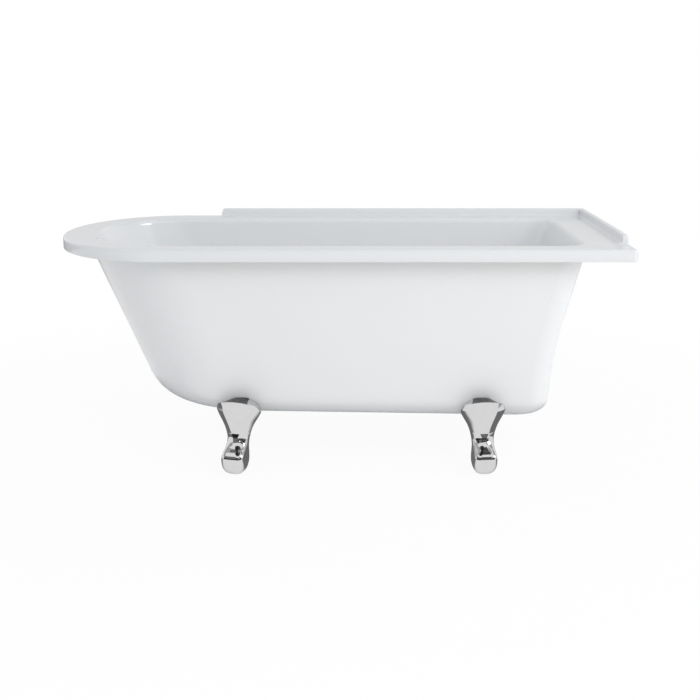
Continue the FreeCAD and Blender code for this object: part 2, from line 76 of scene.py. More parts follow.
def add_camera():
    data = bpy.data.cameras.new("front_camera")
    data.sensor_width = 36
    data.lens = CAMERA_LENS
    camera = bpy.data.objects.new("front_camera", data)
    camera.location = CAMERA_PLACE
    camera.rotation_euler = (math.pi / 2 - CAMERA_TILT, 0, 0)
    bpy.context.collection.objects.link(camera)
    bpy.context.scene.camera = camera


add_camera()
print("camera at", CAMERA_PLACE)

# %% [markdown]
# ## The sheet of the bath
# The visible bath is one sheet of acrylic: a well, a flat rim round it, and a turned-down outer edge.
# The real one is drawn down into a mould when hot, so its walls lean outwards and every change of
# direction is a round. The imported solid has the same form, but a gloss needs an even mesh, or the
# reflections break at the long thin triangles. So the sheet is laid again as closed rings that
# follow the same walls, on a grid of quads.

# %% Sizes of the rim and the well
HALF_LENGTH = cad_box[1][0]
HALF_WIDTH = cad_box[1][1]
RIM_Z = 0.600  # top of the flat rim
RIM_LOW = 0.569  # foot of its turned-down edge
RIM_ROUND = 0.007  # radius between top and edge
RIM_MARGIN = 0.002  # flat strip that is laid before that round
RIM_HEAD_END = 0.293  # length of the half ellipse at the head end
CORNER_R = 0.010  # corners of the square end, seen from above
LEAST_CORNER_R = 0.004
SHEET = 0.008  # thickness of the sheet
EDGE = 0.006  # thickness of the turned-down edge

WELL_FLOOR = 0.185
WELL_HEAD_END = 0.204  # length of its half ellipse, near the rim
WELL_HEAD_END_LESS = 0.014  # so much shorter at the floor
WELL_CORNER_R = 0.060  # corners of its square end, near the rim
WELL_CORNER_R_MORE = 0.015  # so much larger at the floor
BEND = 0.150  # height of the bend between floor and walls
FLARE = 0.015  # radius between walls and rim
WALL_Z = 0.570
WALLS = {  # place at height WALL_Z, lean, and radius into the floor
    "left": (0.652, 0.42, 0.150),
    "right": (0.621, 0.40, 0.080),
    "front": (0.286, 0.16, 0.100),
    "rear": (0.283, 0.16, 0.100),
}
print("well", round(RIM_Z - WELL_FLOOR, 3), "m deep")


# %% Rings seen from above
SIDE_POINTS = 40
CORNER_POINTS = 12
END_POINTS = 16
HEAD_POINTS = 36


def quarter_turn(start, corner, end, count):
    """Points along a quarter ellipse, without its last one."""
    turns = [math.pi / 2 * i / count for i in range(count)]
    return [tuple(s + (c - s) * math.sin(t) + (e - c) * (1 - math.cos(t))
                  for s, c, e in zip(start, corner, end)) for t in turns]


def run(start, end, count):
    """Points along a line, without its last one."""
    return [tuple(s + (e - s) * i / count for s, e in zip(start, end)) for i in range(count)]


def ring(left, right, front, rear, end, corner, z):
    """A closed ring: straight sides, half an ellipse on the left and two round corners."""
    middle = (front + rear) / 2
    near, far = left + end, right - corner
    flat = (run((near, front), (far, front), SIDE_POINTS)
            + quarter_turn((far, front), (right, front), (right, front + corner), CORNER_POINTS)
            + run((right, front + corner), (right, rear - corner), END_POINTS)
            + quarter_turn((right, rear - corner), (right, rear), (far, rear), CORNER_POINTS)
            + run((far, rear), (near, rear), SIDE_POINTS)
            + quarter_turn((near, rear), (left, rear), (left, middle), HEAD_POINTS)
            + quarter_turn((left, middle), (left, front), (near, front), HEAD_POINTS))
    return [(x, y, z) for x, y in flat]


# %% Walls of the well
def reach(side, z, grow):
    """How far a wall stands from the middle at height z, grown outwards by that much."""
    place, lean, radius = WALLS[side]
    slant = math.atan(lean)
    sine, cosine = math.sin(slant), math.cos(slant)
    low = WELL_FLOOR + radius
    high = RIM_Z - FLARE
    if z < low - (radius + grow) * sine:
        centre = place - lean * (WALL_Z - low + radius * sine) - radius * cosine
        return centre + math.sqrt(max((radius + grow) ** 2 - (z - low) ** 2, 0))
    if z > high + (FLARE - grow) * sine:
        centre = place - lean * (WALL_Z - high - FLARE * sine) + FLARE * cosine
        return centre - math.sqrt(max((FLARE - grow) ** 2 - (z - high) ** 2, 0))
    return place - lean * (WALL_Z - z) + grow / cosine


def well_ring(z, grow):
    """The ring of the well's wall at height z. Where the wall flares, its corners widen with it."""
    left, right, front, rear = (reach(side, z, grow) for side in ("left", "right", "front", "rear"))
    share = (RIM_Z - z) / (RIM_Z - WELL_FLOOR)
    place, lean, _ = WALLS["right"]
    over = max(right - place + lean * (WALL_Z - z) - grow / math.cos(math.atan(lean)), 0)
    over = over if z > WALL_Z else 0
    end = WELL_HEAD_END - WELL_HEAD_END_LESS * share + grow + over
    corner = WELL_CORNER_R + WELL_CORNER_R_MORE * share + grow + over
    return ring(-left, right, -front, rear, end, corner, z)


BEND_ANGLES = range(0, 90, 6)  # degrees at which rings are laid round the bend
FLARE_ANGLES = range(10, 91, 10)
WALL_RINGS = 10


def well_rings(grow, top):
    """Rings up one face of the well: round the bend, up the wall and over the flare."""
    low = WELL_FLOOR - grow
    bend = BEND + grow
    heights = [low + bend * (1 - math.cos(math.radians(a))) for a in BEND_ANGLES]
    start = heights[-1]
    straight = min(top, RIM_Z - FLARE)
    heights += [start + (straight - start) * i / WALL_RINGS for i in range(1, WALL_RINGS + 1)]
    heights += [straight + (FLARE - grow) * math.sin(math.radians(a)) for a in FLARE_ANGLES]
    return [well_ring(z, grow) for z in heights]


def rim_ring(inset, z):
    """The rim's outline at height z, moved in by an inset."""
    return ring(-HALF_LENGTH + inset, HALF_LENGTH - inset, -HALF_WIDTH + inset, HALF_WIDTH - inset,
                RIM_HEAD_END - inset, max(CORNER_R - inset, LEAST_CORNER_R), z)


# %% Lay a mesh over rings
SEAM = 0.00002  # points closer than this are one


def only(piece):
    """Makes one piece the selected and active one."""
    bpy.ops.object.select_all(action="DESELECT")
    piece.select_set(True)
    bpy.context.view_layer.objects.active = piece


def lay_over(name, rings):
    """A closed skin of quads over rings with the same number of points.

    A flat grid is bent onto the rings, its seam is merged, and the first and last ring are filled.
    """
    around = len(rings[0])
    bpy.ops.object.select_all(action="DESELECT")
    bpy.ops.mesh.primitive_grid_add(x_subdivisions=around, y_subdivisions=len(rings) - 1)
    piece = bpy.context.object
    piece.name = name
    places = [ring[i % around] for ring in rings for i in range(around + 1)]
    for vertex, place in zip(piece.data.vertices, places):
        vertex.co = place
    bpy.ops.object.mode_set(mode="EDIT")
    bpy.ops.mesh.select_all(action="SELECT")
    bpy.ops.mesh.remove_doubles(threshold=SEAM)
    bpy.ops.mesh.fill_holes(sides=0)
    bpy.ops.mesh.select_all(action="SELECT")
    bpy.ops.mesh.normals_make_consistent(inside=False)
    bpy.ops.object.mode_set(mode="OBJECT")
    return piece


# %% The sheet
TURNS = [math.radians(a) for a in range(0, 91, 15)]  # steps of a quarter turn
EDGE_FOOT = [  # inset and height above RIM_LOW, round the foot of the turned-down edge
    (0.0, 0.0012), (0.0004, 0.0003), (0.0012, 0.0), (EDGE - 0.0008, 0.0), (EDGE, 0.0008),
]


def sheet_rings():
    """Up the well's inside, out over the rim, down its edge, and back along the underside."""
    rings = well_rings(0.0, RIM_Z)
    rings.append(rim_ring(RIM_ROUND + RIM_MARGIN, RIM_Z))
    for turn in TURNS:
        inset, drop = RIM_ROUND * (1 - math.sin(turn)), RIM_ROUND * (1 - math.cos(turn))
        rings.append(rim_ring(inset, RIM_Z - drop))
    rings += [rim_ring(inset, RIM_LOW + height) for inset, height in EDGE_FOOT]
    rings.append(rim_ring(EDGE, RIM_Z - SHEET))
    return rings + well_rings(SHEET, RIM_Z - SHEET)[::-1]


bath = lay_over("bath_sheet", sheet_rings())
print("bath sheet:", len(bath.data.polygons), "faces")

# %% [markdown]
# ## The raised lip
# Along the wall and the square end the rim turns up into a lip that tiles lap over. In the real
# sheet the lip rises from the rim through a small cove, which catches a soft line of light. It is
# laid as cross-sections along the rim's edge, and it sinks into the rim at both ends.

# %% Cross-section of the lip
LIP_HEIGHT = cad_box[1][2] - RIM_Z
LIP_THICK = 0.015
LIP_ROUND = 0.004
LIP_DEEP = -0.0075  # its outer side starts below the rim's round edge
LIP_FOOT = 0.004  # width of that sunk foot
COVE = 0.010
COVE_DEEP = -0.0015


def lip_section():
    """(distance in from the rim's edge, height above the rim) from outside to inside."""
    points = [(0.0, LIP_DEEP)]
    points += [(LIP_ROUND * (1 - math.cos(t)), LIP_HEIGHT - LIP_ROUND * (1 - math.sin(t)))
               for t in TURNS]
    points += [(LIP_THICK - LIP_ROUND * (1 - math.sin(t)), LIP_HEIGHT - LIP_ROUND * (1 - math.cos(t)))
               for t in TURNS]
    points += [(LIP_THICK + COVE * (1 - math.cos(t)), COVE * (1 - math.sin(t))) for t in TURNS]
    return points + [(LIP_THICK + COVE, COVE_DEEP), (LIP_FOOT, LIP_DEEP)]


# %% Sections along the lip
LIP_LEFT_X = -0.358
LIP_FRONT_Y = -0.255
LIP_RISE = 0.009  # length over which it rises at each end
LIP_SINK = 0.0002  # its thin inner edge starts just below the rim's surface
LIP_CLEAR_X, LIP_CLEAR_Y = 0.05, 0.03  # even sections start so far from an end or a corner
LIP_STEPS_X, LIP_STEPS_Y = 24, 16
EASED = [0, 0.02, 0.08, 0.18, 0.35, 0.6, 1.0]


def lip_stations():
    """(place along a side, which side, share of the full height), from the left to the front."""
    ends = [(LIP_RISE * t, math.sqrt(1 - (1 - t) ** 2)) for t in EASED]
    along_x = run((LIP_LEFT_X + LIP_CLEAR_X,), (HALF_LENGTH - CORNER_R,), LIP_STEPS_X)
    along_y = run((HALF_WIDTH - CORNER_R - LIP_CLEAR_Y,), (LIP_FRONT_Y + LIP_CLEAR_Y,), LIP_STEPS_Y)
    return ([(LIP_LEFT_X + way, "rear", share) for way, share in ends]
            + [(x, "rear", 1.0) for x, in along_x]
            + [(turn, "corner", 1.0) for turn in TURNS]
            + [(y, "end", 1.0) for y, in along_y]
            + [(LIP_FRONT_Y + way, "end", share) for way, share in reversed(ends)])


def lip_ring(place, side, share):
    points = []
    for inward, height in lip_section():
        z = RIM_Z + (height * share if height > 0 else height) - LIP_SINK
        across = CORNER_R - inward
        if side == "rear":
            points.append((place, HALF_WIDTH - inward, z))
        elif side == "end":
            points.append((HALF_LENGTH - inward, place, z))
        elif across > 0:
            points.append((HALF_LENGTH - CORNER_R + across * math.sin(place),
                           HALF_WIDTH - CORNER_R + across * math.cos(place), z))
        else:
            points.append((HALF_LENGTH - inward, HALF_WIDTH - inward, z))
    return points


lip = lay_over("lip", [lip_ring(*station) for station in lip_stations()])
print("lip:", len(lip.data.polygons), "faces")


# %% [markdown]
# ## Holes through the sheet
# The waste is let into a shallow recess in the floor, and the overflow looks through the end wall.
# Both are bored with a tool the size of the fitting, by the Boolean modifier. The same modifier then
# unites the lip with the sheet, so that the bath is one closed skin.

# %% Combine two pieces
def combine(piece, operation, tool):
    """Cuts, keeps or adds what the tool covers, and takes the tool away."""
    only(piece)
    step = piece.modifiers.new("combine", "BOOLEAN")
    step.operation = operation
    step.solver = "EXACT"
    step.object = tool
    bpy.ops.object.modifier_apply(modifier=step.name)
    bpy.data.objects.remove(tool, do_unlink=True)


# %% Bore the holes
WASTE_X = 0.375
UPRIGHT = (0, 0, 1)
BORE_SIDES = 96
HOLES = [  # middle of the tool, its axis, radius and length
    ((WASTE_X, 0, WELL_FLOOR + 0.0035), UPRIGHT, 0.0365, 0.010),  # recess, 1.5 mm deep
    ((WASTE_X, 0, WELL_FLOOR), UPRIGHT, 0.025, 0.05),  # waste
    ((0.5818, 0.0, 0.472), (-0.928477, 0.0, 0.371391), 0.022, 0.05),  # overflow
]

for middle, axis, radius, length in HOLES:
    bpy.ops.object.select_all(action="DESELECT")
    turn = Vector(axis).to_track_quat("Z", "Y").to_euler()
    bpy.ops.mesh.primitive_cylinder_add(vertices=BORE_SIDES, radius=radius, depth=length,
                                        location=middle, rotation=turn)
    combine(bath, "DIFFERENCE", bpy.context.object)
print("bored:", len(bath.data.polygons), "faces")

# %% Unite the lip with the sheet
SHEET_SMOOTH = math.radians(35)

combine(bath, "UNION", lip)
bpy.ops.object.shade_smooth_by_angle(angle=SHEET_SMOOTH)
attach(bath, "tub")
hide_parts("tub_shell")
print("bath:", [round(v, 3) for v in bath.dimensions])

# %% [markdown]
# ## Turned pieces
# Screws, pads and plugs are round, and a lathe makes them. Blender's Screw modifier could spin an
# outline, but ring by ring is closer to work by hand: a disc is extruded up a step, scaled to the
# next radius, and so on. The outline is a short list that can be read and changed.


# %% Turn a piece
def turned(name, place, outline, sides):
    """A round piece over an outline of (radius, height) pairs, from its foot up."""
    x, y = place
    radius, height = outline[0]
    bpy.ops.object.select_all(action="DESELECT")
    bpy.ops.mesh.primitive_circle_add(vertices=sides, radius=radius, fill_type="NGON",
                                      location=(x, y, height))
    piece = bpy.context.object
    piece.name = name
    bpy.ops.object.transform_apply(location=True, rotation=True, scale=True)
    bpy.ops.object.mode_set(mode="EDIT")
    bpy.ops.mesh.select_all(action="SELECT")
    for next_radius, next_height in outline[1:]:
        step = (0, 0, next_height - height)
        bpy.ops.mesh.extrude_region_move(TRANSFORM_OT_translate={"value": step})
        size = next_radius / radius
        bpy.ops.transform.resize(value=(size, size, 1), center_override=(x, y, next_height))
        radius, height = next_radius, next_height
    bpy.ops.mesh.select_all(action="SELECT")
    bpy.ops.mesh.normals_make_consistent(inside=False)
    bpy.ops.object.mode_set(mode="OBJECT")
    return piece


M8_PITCH = 0.00125


def thread(crest, low, high, depth=0.0006):
    """The outline of an M8 screw thread, as close rings: a crest and a root in each turn."""
    root = crest - depth
    turn = [(crest, 0.15), (crest, 0.30), (root, 0.65), (root, 0.80)]  # radius and share of the pitch
    return [(radius, low + M8_PITCH * (i + share))
            for i in range(int((high - low) / M8_PITCH)) for radius, share in turn]


TURNED_SMOOTH = math.radians(30)
NEW_PIECES = {"bath_sheet": "acrylic"}


def settle(piece, body, node, finish):
    """Smooths a new piece, gives it its body, hides the solid it replaces, and notes the finish that
    it takes.
    """
    only(piece)
    bpy.ops.object.shade_smooth_by_angle(angle=TURNED_SMOOTH)
    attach(piece, body)
    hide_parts(node)
    NEW_PIECES[piece.name] = finish


# %% [markdown]
# ## Levelling screws
# Each foot stands on a screw that turns out to level the bath. It has a broad chamfered pad and an
# M8 thread, which shows when the screw is run out. One is turned for each foot, with its own mesh.

# %% Levelling screws
PAD_R = 0.0075
NECK_R = 0.0064
STUD_R = 0.00395
PAD = [  # radius and height above the floor
    (PAD_R - 0.0010, 0.0), (PAD_R - 0.0002, 0.0006), (PAD_R, 0.0012), (PAD_R, 0.0042),
    (PAD_R - 0.0003, 0.0048), (NECK_R + 0.0002, 0.0050), (NECK_R, 0.0054), (NECK_R, 0.0070),
    (NECK_R - 0.0004, 0.0075), (STUD_R - 0.0006, 0.0076),
]
THREAD_FOOT = 0.0078  # height above the floor where the thread starts
THREAD_END = 0.0012  # depth below the stud's top where it ends
TIP = [(STUD_R - 0.0004, 0.0010), (STUD_R - 0.0012, 0.0)]  # radius and depth below the stud's top

for end in ("left", "right"):
    for side in ("front", "rear"):
        node = f"{end}_{side}_leveller"
        low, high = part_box(node)
        centre = ((low[0] + high[0]) / 2, (low[1] + high[1]) / 2)
        pad = [(radius, low[2] + height) for radius, height in PAD]
        stud = thread(STUD_R, low[2] + THREAD_FOOT, high[2] - THREAD_END)
        tip = [(radius, high[2] - depth) for radius, depth in TIP]
        screw = turned(f"{end}_{side}_levelling_screw", centre, pad + stud + tip, sides=32)
        settle(screw, node, node, "zinc_steel")
print("levelling screw:", len(screw.data.polygons), "faces")

# %% [markdown]
# ## Bolts of the feet
# A foot's strap is held up under the bath by two hexagon bolts. A real head isn't a plain six-sided
# block: its corners are turned off at the free end. So the hexagon is intersected with a chamfered
# disc. Eight heads and shanks are made this way and joined as one piece.

# %% One hexagon bolt
HEAD_TALL = 0.0053
HEAD_FLATS = 0.013  # across its flats
HEAD_CORNER_R = HEAD_FLATS / 2 / math.cos(math.radians(30))
HEAD_FACE_R = 0.0064  # round face that is left at the free end
HEAD_CHAMFER = 0.0009  # height of the chamfer at its corners
BLANK_END_R = 0.0058  # the chamfered disc's own end, a hair past the hexagon's
HAIR = 0.0001  # so far the disc stands past the hexagon, for a clean cut
SHANK_R = 0.0040
SHANK_LONG = 0.0301


def hexagon_head(place, low):
    x, y = place
    bpy.ops.object.select_all(action="DESELECT")
    bpy.ops.mesh.primitive_cylinder_add(vertices=6, radius=HEAD_CORNER_R, depth=HEAD_TALL,
                                        location=(x, y, low + HEAD_TALL / 2),
                                        rotation=(0, 0, math.radians(30)))
    head = bpy.context.object
    bpy.ops.object.transform_apply(location=True, rotation=True, scale=True)
    outline = [(BLANK_END_R, low - HAIR), (HEAD_FACE_R, low), (HEAD_CORNER_R, low + HEAD_CHAMFER),
               (HEAD_CORNER_R, low + HEAD_TALL + HAIR)]
    combine(head, "INTERSECT", turned("blank", place, outline, sides=64))
    return head


def threaded_shank(place, top_of_head):
    root = [(SHANK_R - 0.0004, top_of_head - 0.0004)]
    turns = thread(SHANK_R, top_of_head, top_of_head + SHANK_LONG, 0.0005)
    return turned("shank", place, root + turns, sides=24)


# %% Places of the bolts
FOOT_PLACES = {"left": (-0.2686, -15.5), "right": (0.3866, 6.0)}  # x and turn in degrees
FOOT_LINE = -0.315
BOLT_REACH = (0.190, 0.214)  # from the foot's front, back along its strap
UNDERSIDE_Z = 0.1315  # underside of the bath at UNDERSIDE_X
UNDERSIDE_X = 0.300
UNDERSIDE_TILT = 0.016  # it rises a little towards the left
STRAP = 0.0052
HEAD_AND_WASHER = 0.0069


def bolt_place(x, turn, back, side):
    angle = math.radians(turn)
    return x - back * math.sin(angle), side * (FOOT_LINE + back * math.cos(angle))


def head_low(x):
    """Height of a head's free end."""
    return UNDERSIDE_Z + UNDERSIDE_TILT * (UNDERSIDE_X - x) - STRAP - HEAD_AND_WASHER


bolt_places = [bolt_place(x, turn, back, side)
               for x, turn in FOOT_PLACES.values() for back in BOLT_REACH for side in (1, -1)]
print("bolts at", [(round(x, 3), round(y, 3)) for x, y in bolt_places])

# %% The eight bolts
bolts = []
for place in bolt_places:
    low = head_low(place[0])
    bolts += [hexagon_head(place, low), threaded_shank(place, low + HEAD_TALL)]
bpy.ops.object.select_all(action="DESELECT")
for bolt in bolts:
    bolt.select_set(True)
bpy.context.view_layer.objects.active = bolts[0]
bpy.ops.object.join()
bolts[0].name = "hexagon_bolts"
settle(bolts[0], "tub", "foot_bolts", "zinc_steel")
bolt_low, bolt_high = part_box("foot_bolts")
print("size:", [round(v, 4) for v in bolts[0].dimensions],
      "solid:", [round(a - b, 4) for a, b in zip(bolt_high, bolt_low)])

# %% [markdown]
# ## The plug
# The plug is a low chrome dome with a rolled edge and a turned groove. A flat disc mirrors one patch
# of the room and looks like a hole, while a slight dome gathers the whole bath round it.

# %% Plug
STALK_R = 0.0185
DOME = [  # radius and depth below the top
    (STALK_R, 0.0050),
    # rolled edge
    (0.0292, 0.0050), (0.0299, 0.0046), (0.0300, 0.0036), (0.0298, 0.0026), (0.0291, 0.0018),
    (0.0278, 0.0012), (0.0250, 0.0009),
    # groove
    (0.0245, 0.0010), (0.0240, 0.0015), (0.0230, 0.0015), (0.0225, 0.0009),
    (0.0215, 0.0007), (0.0150, 0.0003), (0.0080, 0.0001), (0.0020, 0.0),
]

plug_low, plug_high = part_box("plug_cap")
plug = turned("plug", (WASTE_X, 0), [(STALK_R, plug_low[2])]
              + [(radius, plug_high[2] - depth) for radius, depth in DOME], sides=96)
settle(plug, "plug", "plug_cap", "fitting_chrome")
print("plug:", [round(v, 4) for v in plug.dimensions])

# %% [markdown]
# ## Sums on sockets
# A finish is a small network of nodes. Sums such as 1 - mask are easier to read as expressions, so a
# Field wraps an output socket, and its operators add the Math nodes.


# %% Fields
class Field:
    """A number, colour or vector that varies over a surface."""

    def __init__(self, network, socket):
        self.network = network
        self.socket = socket

    def math(self, operation, *values):
        """Any operation of the Math node."""
        return self.network.node("Math", {"operation": operation}, *values)

    def __add__(self, other):
        return self.math("ADD", self, other)

    def __rsub__(self, other):
        return self.math("SUBTRACT", other, self)

    def __mul__(self, other):
        return self.math("MULTIPLY", self, other)

    def __gt__(self, other):
        return self.math("GREATER_THAN", self, other)

    def __lt__(self, other):
        return self.math("LESS_THAN", self, other)

    def __abs__(self):
        return self.math("ABSOLUTE", self)

    def most(self, other):
        """The larger of the two."""
        return self.math("MAXIMUM", self, other)

    __radd__ = __add__


# %% [markdown]
# ## Networks and finishes
# A Network is the node tree of a material or of the world. Its node method adds any node, its
# settings first and then the values or links of its sockets. A Finish is the network of one material
# round its shader, and its set method fills the sockets of the shader.


# %% Network
class Network:
    """A tree of shader nodes."""

    def __init__(self, tree):
        self.tree = tree
        self.nodes = tree.nodes

    def put(self, socket, value):
        """Links a field to a socket, or writes a plain value into it."""
        if isinstance(value, Field):
            self.tree.links.new(value.socket, socket)
        elif isinstance(value, tuple) and len(value) == 3 and socket.type == "RGBA":
            socket.default_value = (*value, 1)
        else:
            socket.default_value = value

    def node(self, kind, settings, *values, output=0, **named):
        """Adds a node and gives the field of one of its outputs."""
        made = self.nodes.new("ShaderNode" + kind)
        for name, value in settings.items():
            setattr(made, name, value)
        for socket, value in zip(made.inputs, values):
            self.put(socket, value)
        for name, value in named.items():
            self.put(made.inputs[name], value)
        return Field(self, made.outputs[output]) if made.outputs else None

    def blend(self, mask, low, high):
        """From one colour at a mask of 0 to another at 1."""
        made = self.nodes.new("ShaderNodeMix")
        made.data_type = "RGBA"
        for place, value in ((0, mask), (6, low), (7, high)):  # a Mix node's own colour sockets
            self.put(made.inputs[place], value)
        return Field(self, made.outputs[2])

    def spread(self, value, low, high):
        """0 at low, 1 at high, and even in between."""
        return self.node("MapRange", {}, value, low, high, 0.0, 1.0)

    def band(self, value, low, full, still_full, high):
        """1 in the middle of a band, and falling to 0 at both sides."""
        return self.spread(value, low, full) * self.spread(value, high, still_full)

    def split(self, vector):
        """The three parts of a vector."""
        made = self.node("SeparateXYZ", {}, vector).socket.node
        return [Field(self, socket) for socket in made.outputs]


# %% Finish
class Finish(Network):
    """One material, with its shader and its network of nodes."""

    def __init__(self, name):
        self.material = bpy.data.materials.new(name)
        self.material.use_nodes = True
        super().__init__(self.material.node_tree)
        self.shader = self.nodes["Principled BSDF"]
        self.place = self.node("TexCoord", {}, output="Object")

    def set(self, **named):
        for name, value in named.items():
            self.put(self.shader.inputs[name.replace("_", " ")], value)

    def stretched(self, scale, turn=(0, 0, 0)):
        return self.node("Mapping", {}, Vector=self.place, Scale=scale, Rotation=turn)

    def noise(self, scale, detail, vector=None):
        return self.node("TexNoise", {}, Vector=vector or self.place, Scale=scale, Detail=detail)

    def bump(self, height, distance, strength):
        return self.node("Bump", {}, Strength=strength, Distance=distance, Height=height)


# %% [markdown]
# ## White acrylic and gelcoat
# The bath is a sheet of cast acrylic, drawn over a mould and backed with glass fibre. It is smooth
# and glossy. A trace of waviness keeps its reflections from looking computed, and slightly uneven
# gloss stands for handling. The outer skin is a gelcoat, which is whiter and less glossy.


# %% Acrylic and gelcoat
def acrylic_finish():
    made = Finish("white_acrylic")
    broad = made.noise(1.6, 2)
    fine = made.noise(38.0, 3)
    colour = made.blend(broad, (0.812, 0.820, 0.828), (0.836, 0.842, 0.848))
    made.set(Base_Color=colour, Roughness=0.05 + fine * 0.04, IOR=1.49,
             Normal=made.bump(made.noise(14.0, 1), 0.0004, 0.2))
    return made.material


def skin_finish():
    made = Finish("white_gelcoat")
    broad = made.noise(1.3, 2)
    fine = made.noise(55.0, 3)
    colour = made.blend(broad, (0.868, 0.873, 0.878), (0.892, 0.895, 0.898))
    made.set(Base_Color=colour, Roughness=0.20 + fine * 0.08, IOR=1.49,
             Normal=made.bump(made.noise(160.0, 2), 0.0002, 0.2))
    return made.material


# %% [markdown]
# ## Metals
# Chrome hides every mark but smudges, zinc shows its crystals, and brass tarnishes in patches. On a
# foot, the level top of the casting is left rougher and painted near black: painted shade for the
# dark gap under the bath that it mirrors. A mask by height and slope finds it.

# %% Chrome
CASTING_TOP = 0.1885
# Above this height a foot's level faces take painted shade.
LEVEL = 0.7  # upward part of the normal above which a face counts as level


def chrome_finish(name, painted_shade_on_top):
    """Bright plating, whose level top can take painted shade for the dark gap under the bath."""
    made = Finish(name)
    smudge = made.spread(made.noise(45.0, 4), 0.45, 0.75)
    colour = made.blend(smudge, (0.675, 0.675, 0.675), (0.655, 0.656, 0.658))
    gloss = 0.035 + smudge * 0.05
    if painted_shade_on_top:
        height = made.split(made.place)[2]
        facing = made.split(made.node("NewGeometry", {}, output="Normal"))[2]
        # Painted shade: a foot's level top is painted near black, with a grain, for the dark gap it
        # mirrors.
        top = (height > CASTING_TOP) * (facing > LEVEL)
        painted_shade_grain = made.spread(made.noise(120.0, 3), 0.5, 0.7)
        colour = made.blend(top, colour, made.blend(painted_shade_grain, (0.01, 0.01, 0.01), (0.08, 0.08, 0.08)))
        gloss = gloss + top * 0.2
    made.set(Base_Color=colour, Metallic=1.0, Roughness=gloss,
             Normal=made.bump(made.noise(30.0, 1), 0.0003, 0.12))
    return made.material


# %% Zinc
def zinc_finish():
    made = Finish("zinc_plated_steel")
    cells = made.node("TexVoronoi", {}, Vector=made.place, Scale=420.0, output="Color")
    spangle = made.node("SeparateColor", {}, cells)
    colour = made.blend(spangle, (0.50, 0.51, 0.53), (0.63, 0.63, 0.60))
    made.set(Base_Color=colour, Metallic=1.0, Roughness=0.30 + spangle * 0.15,
             Normal=made.bump(made.noise(900.0, 2), 0.0001, 0.3))
    return made.material


# %% Brass
def brass_finish():
    made = Finish("turned_brass")
    tarnish = made.spread(made.noise(220.0, 4), 0.4, 0.7)
    colour = made.blend(tarnish, (0.78, 0.58, 0.27), (0.52, 0.37, 0.17))
    made.set(Base_Color=colour, Metallic=1.0, Roughness=0.25 + tarnish * 0.25)
    return made.material


# %% [markdown]
# ## Wood under resin
# The boards and battens of an acrylic bath are laid up with it: resin and chopped glass are sprayed
# over them, so that damp can't reach the wood. The grain shows through a pale, uneven coat, and the
# strands stand a little proud. The strands are two stretched noises that cross each other.


# %% Resin coat
def under_resin(made, wood, cover):
    """The colour of wood under a sprayed coat, and the height of the strands in it."""
    one_way, other_way = (
        made.spread(made.noise(30.0, 2, made.stretched(scale, turn)), 0.58, 0.64)
        for scale, turn in (((1.0, 9.0, 3.0), (0, 0, 0.6)), ((9.0, 1.0, 3.0), (0, 0, 0.3))))
    crossed = one_way.most(other_way)
    thickness = made.spread(made.noise(7.0, 3), 0.25, 0.8)
    coat = made.blend(crossed, (0.76, 0.75, 0.72), (0.86, 0.86, 0.85))
    return made.blend(cover + thickness * 0.25, wood, coat), crossed


# %% Chipboard
def chipboard_finish():
    made = Finish("chipboard_under_resin")
    flakes = made.stretched((1.0, 1.0, 3.0))
    cells = made.node("TexVoronoi", {}, Vector=flakes, Scale=260.0, output="Color")
    tone = made.node("SeparateColor", {}, cells)
    gaps = made.node("TexVoronoi", {"feature": "DISTANCE_TO_EDGE"}, Vector=flakes, Scale=260.0)
    dust = made.noise(900.0, 3)
    chips = made.blend(tone, (0.46, 0.30, 0.15), (0.72, 0.55, 0.34))
    wood = made.blend(made.spread(gaps, 0.0, 0.09), (0.28, 0.17, 0.08), chips)
    colour, strands = under_resin(made, wood, 0.50)
    made.set(Base_Color=colour, Roughness=0.45 + dust * 0.2,
             Normal=made.bump(gaps + strands, 0.0006, 0.4))
    return made.material


# %% Pine
def pine_finish(name):
    """Pine whose grain runs along x."""
    made = Finish(name)
    rings = made.node("TexWave", {"wave_type": "BANDS", "bands_direction": "Z"},
                      Vector=made.stretched((1.0, 14.0, 14.0)), Scale=1.6, Distortion=5.0, Detail=3.0,
                      output="Fac")
    fibres = made.noise(60.0, 4, made.stretched((8.0, 112.0, 112.0)))
    early = made.blend(rings, (0.74, 0.55, 0.32), (0.56, 0.36, 0.17))
    wood = made.blend(fibres * 0.35, early, (0.42, 0.26, 0.12))
    colour, strands = under_resin(made, wood, 0.55)
    made.set(Base_Color=colour, Roughness=0.42 + fibres * 0.2,
             Normal=made.bump(rings * 0.3 + strands * 0.7, 0.0005, 0.35))
    return made.material


# %% [markdown]
# ## Rubber, pipe and cable
# The seals are black rubber, which goes pale in patches with age. The pipe from the overflow to the
# waste is grey plastic, and the plug's cable runs in a black sheath. Photographs could be mapped onto
# them, but these pieces are small and plain, so one or two noises give each its colour, its gloss and
# a fine grain.

# %% Rubber, pipe and cable
def rubber_finish():
    made = Finish("black_rubber")
    bloom = made.noise(70.0, 4)
    colour = made.blend(bloom, (0.018, 0.018, 0.019), (0.045, 0.045, 0.046))
    made.set(Base_Color=colour, Roughness=0.62 + bloom * 0.2,
             Normal=made.bump(made.noise(700.0, 2), 0.0002, 0.5))
    return made.material


def pipe_finish():
    made = Finish("grey_pipe_plastic")
    fine = made.noise(240.0, 3)
    colour = made.blend(made.noise(12.0, 2), (0.60, 0.61, 0.61), (0.68, 0.69, 0.69))
    made.set(Base_Color=colour, Roughness=0.36 + fine * 0.14, Normal=made.bump(fine, 0.0002, 0.3))
    return made.material


